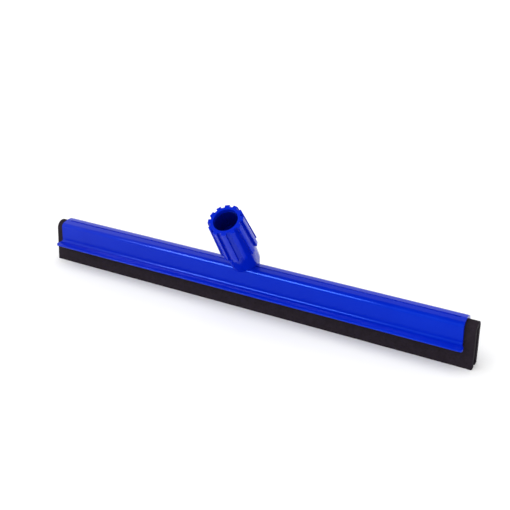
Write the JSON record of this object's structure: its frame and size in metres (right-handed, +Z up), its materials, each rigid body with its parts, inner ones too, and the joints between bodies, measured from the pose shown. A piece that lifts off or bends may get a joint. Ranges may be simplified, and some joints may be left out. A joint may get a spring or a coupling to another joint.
{
  "type": "floor squeegee",
  "caption": "Long plastic squeegee head with a folded foam-rubber blade, splash lips, an angled handle socket and a ribbed lock nut.",
  "frame": {"origin": "middle of the blade's contact with the floor: half-way along it, between its two lips", "axes": "+X along the bar, -Y to the front, the side the handle socket leans to, and +Z up"},
  "size_m": [0.45, 0.068, 0.1103],
  "materials": {
    "frame_plastic": "gloss",
    "nut_plastic": "gloss",
    "collet_plastic": "satin",
    "foam_rubber": "matte",
    "core_plastic": "satin"
  },
  "bodies": {
    "head": {"frame_bar": "frame_plastic", "handle_socket": "frame_plastic", "foam_blade": "foam_rubber", "core_strip": "core_plastic"},
    "collet": {"grip_collet": "collet_plastic"},
    "nut": {"lock_nut": "nut_plastic"}
  },
  "joints": [
    {"name": "collet_slide", "type": "slide", "parent": "head", "child": "collet", "axis": [0, -0.5736, 0.8192], "range_m": [0, 0.008]},
    {"name": "nut_spin", "type": "hinge", "parent": "collet", "child": "nut", "pos_m": [0, -0.0355, 0.101], "axis": [0, -0.5736, 0.8192], "range_deg": [0, 720]}
  ],
  "couplings": [
    {"joint": "collet_slide", "follows": "nut_spin", "m_per_rad": 0.0006366}
  ]
}
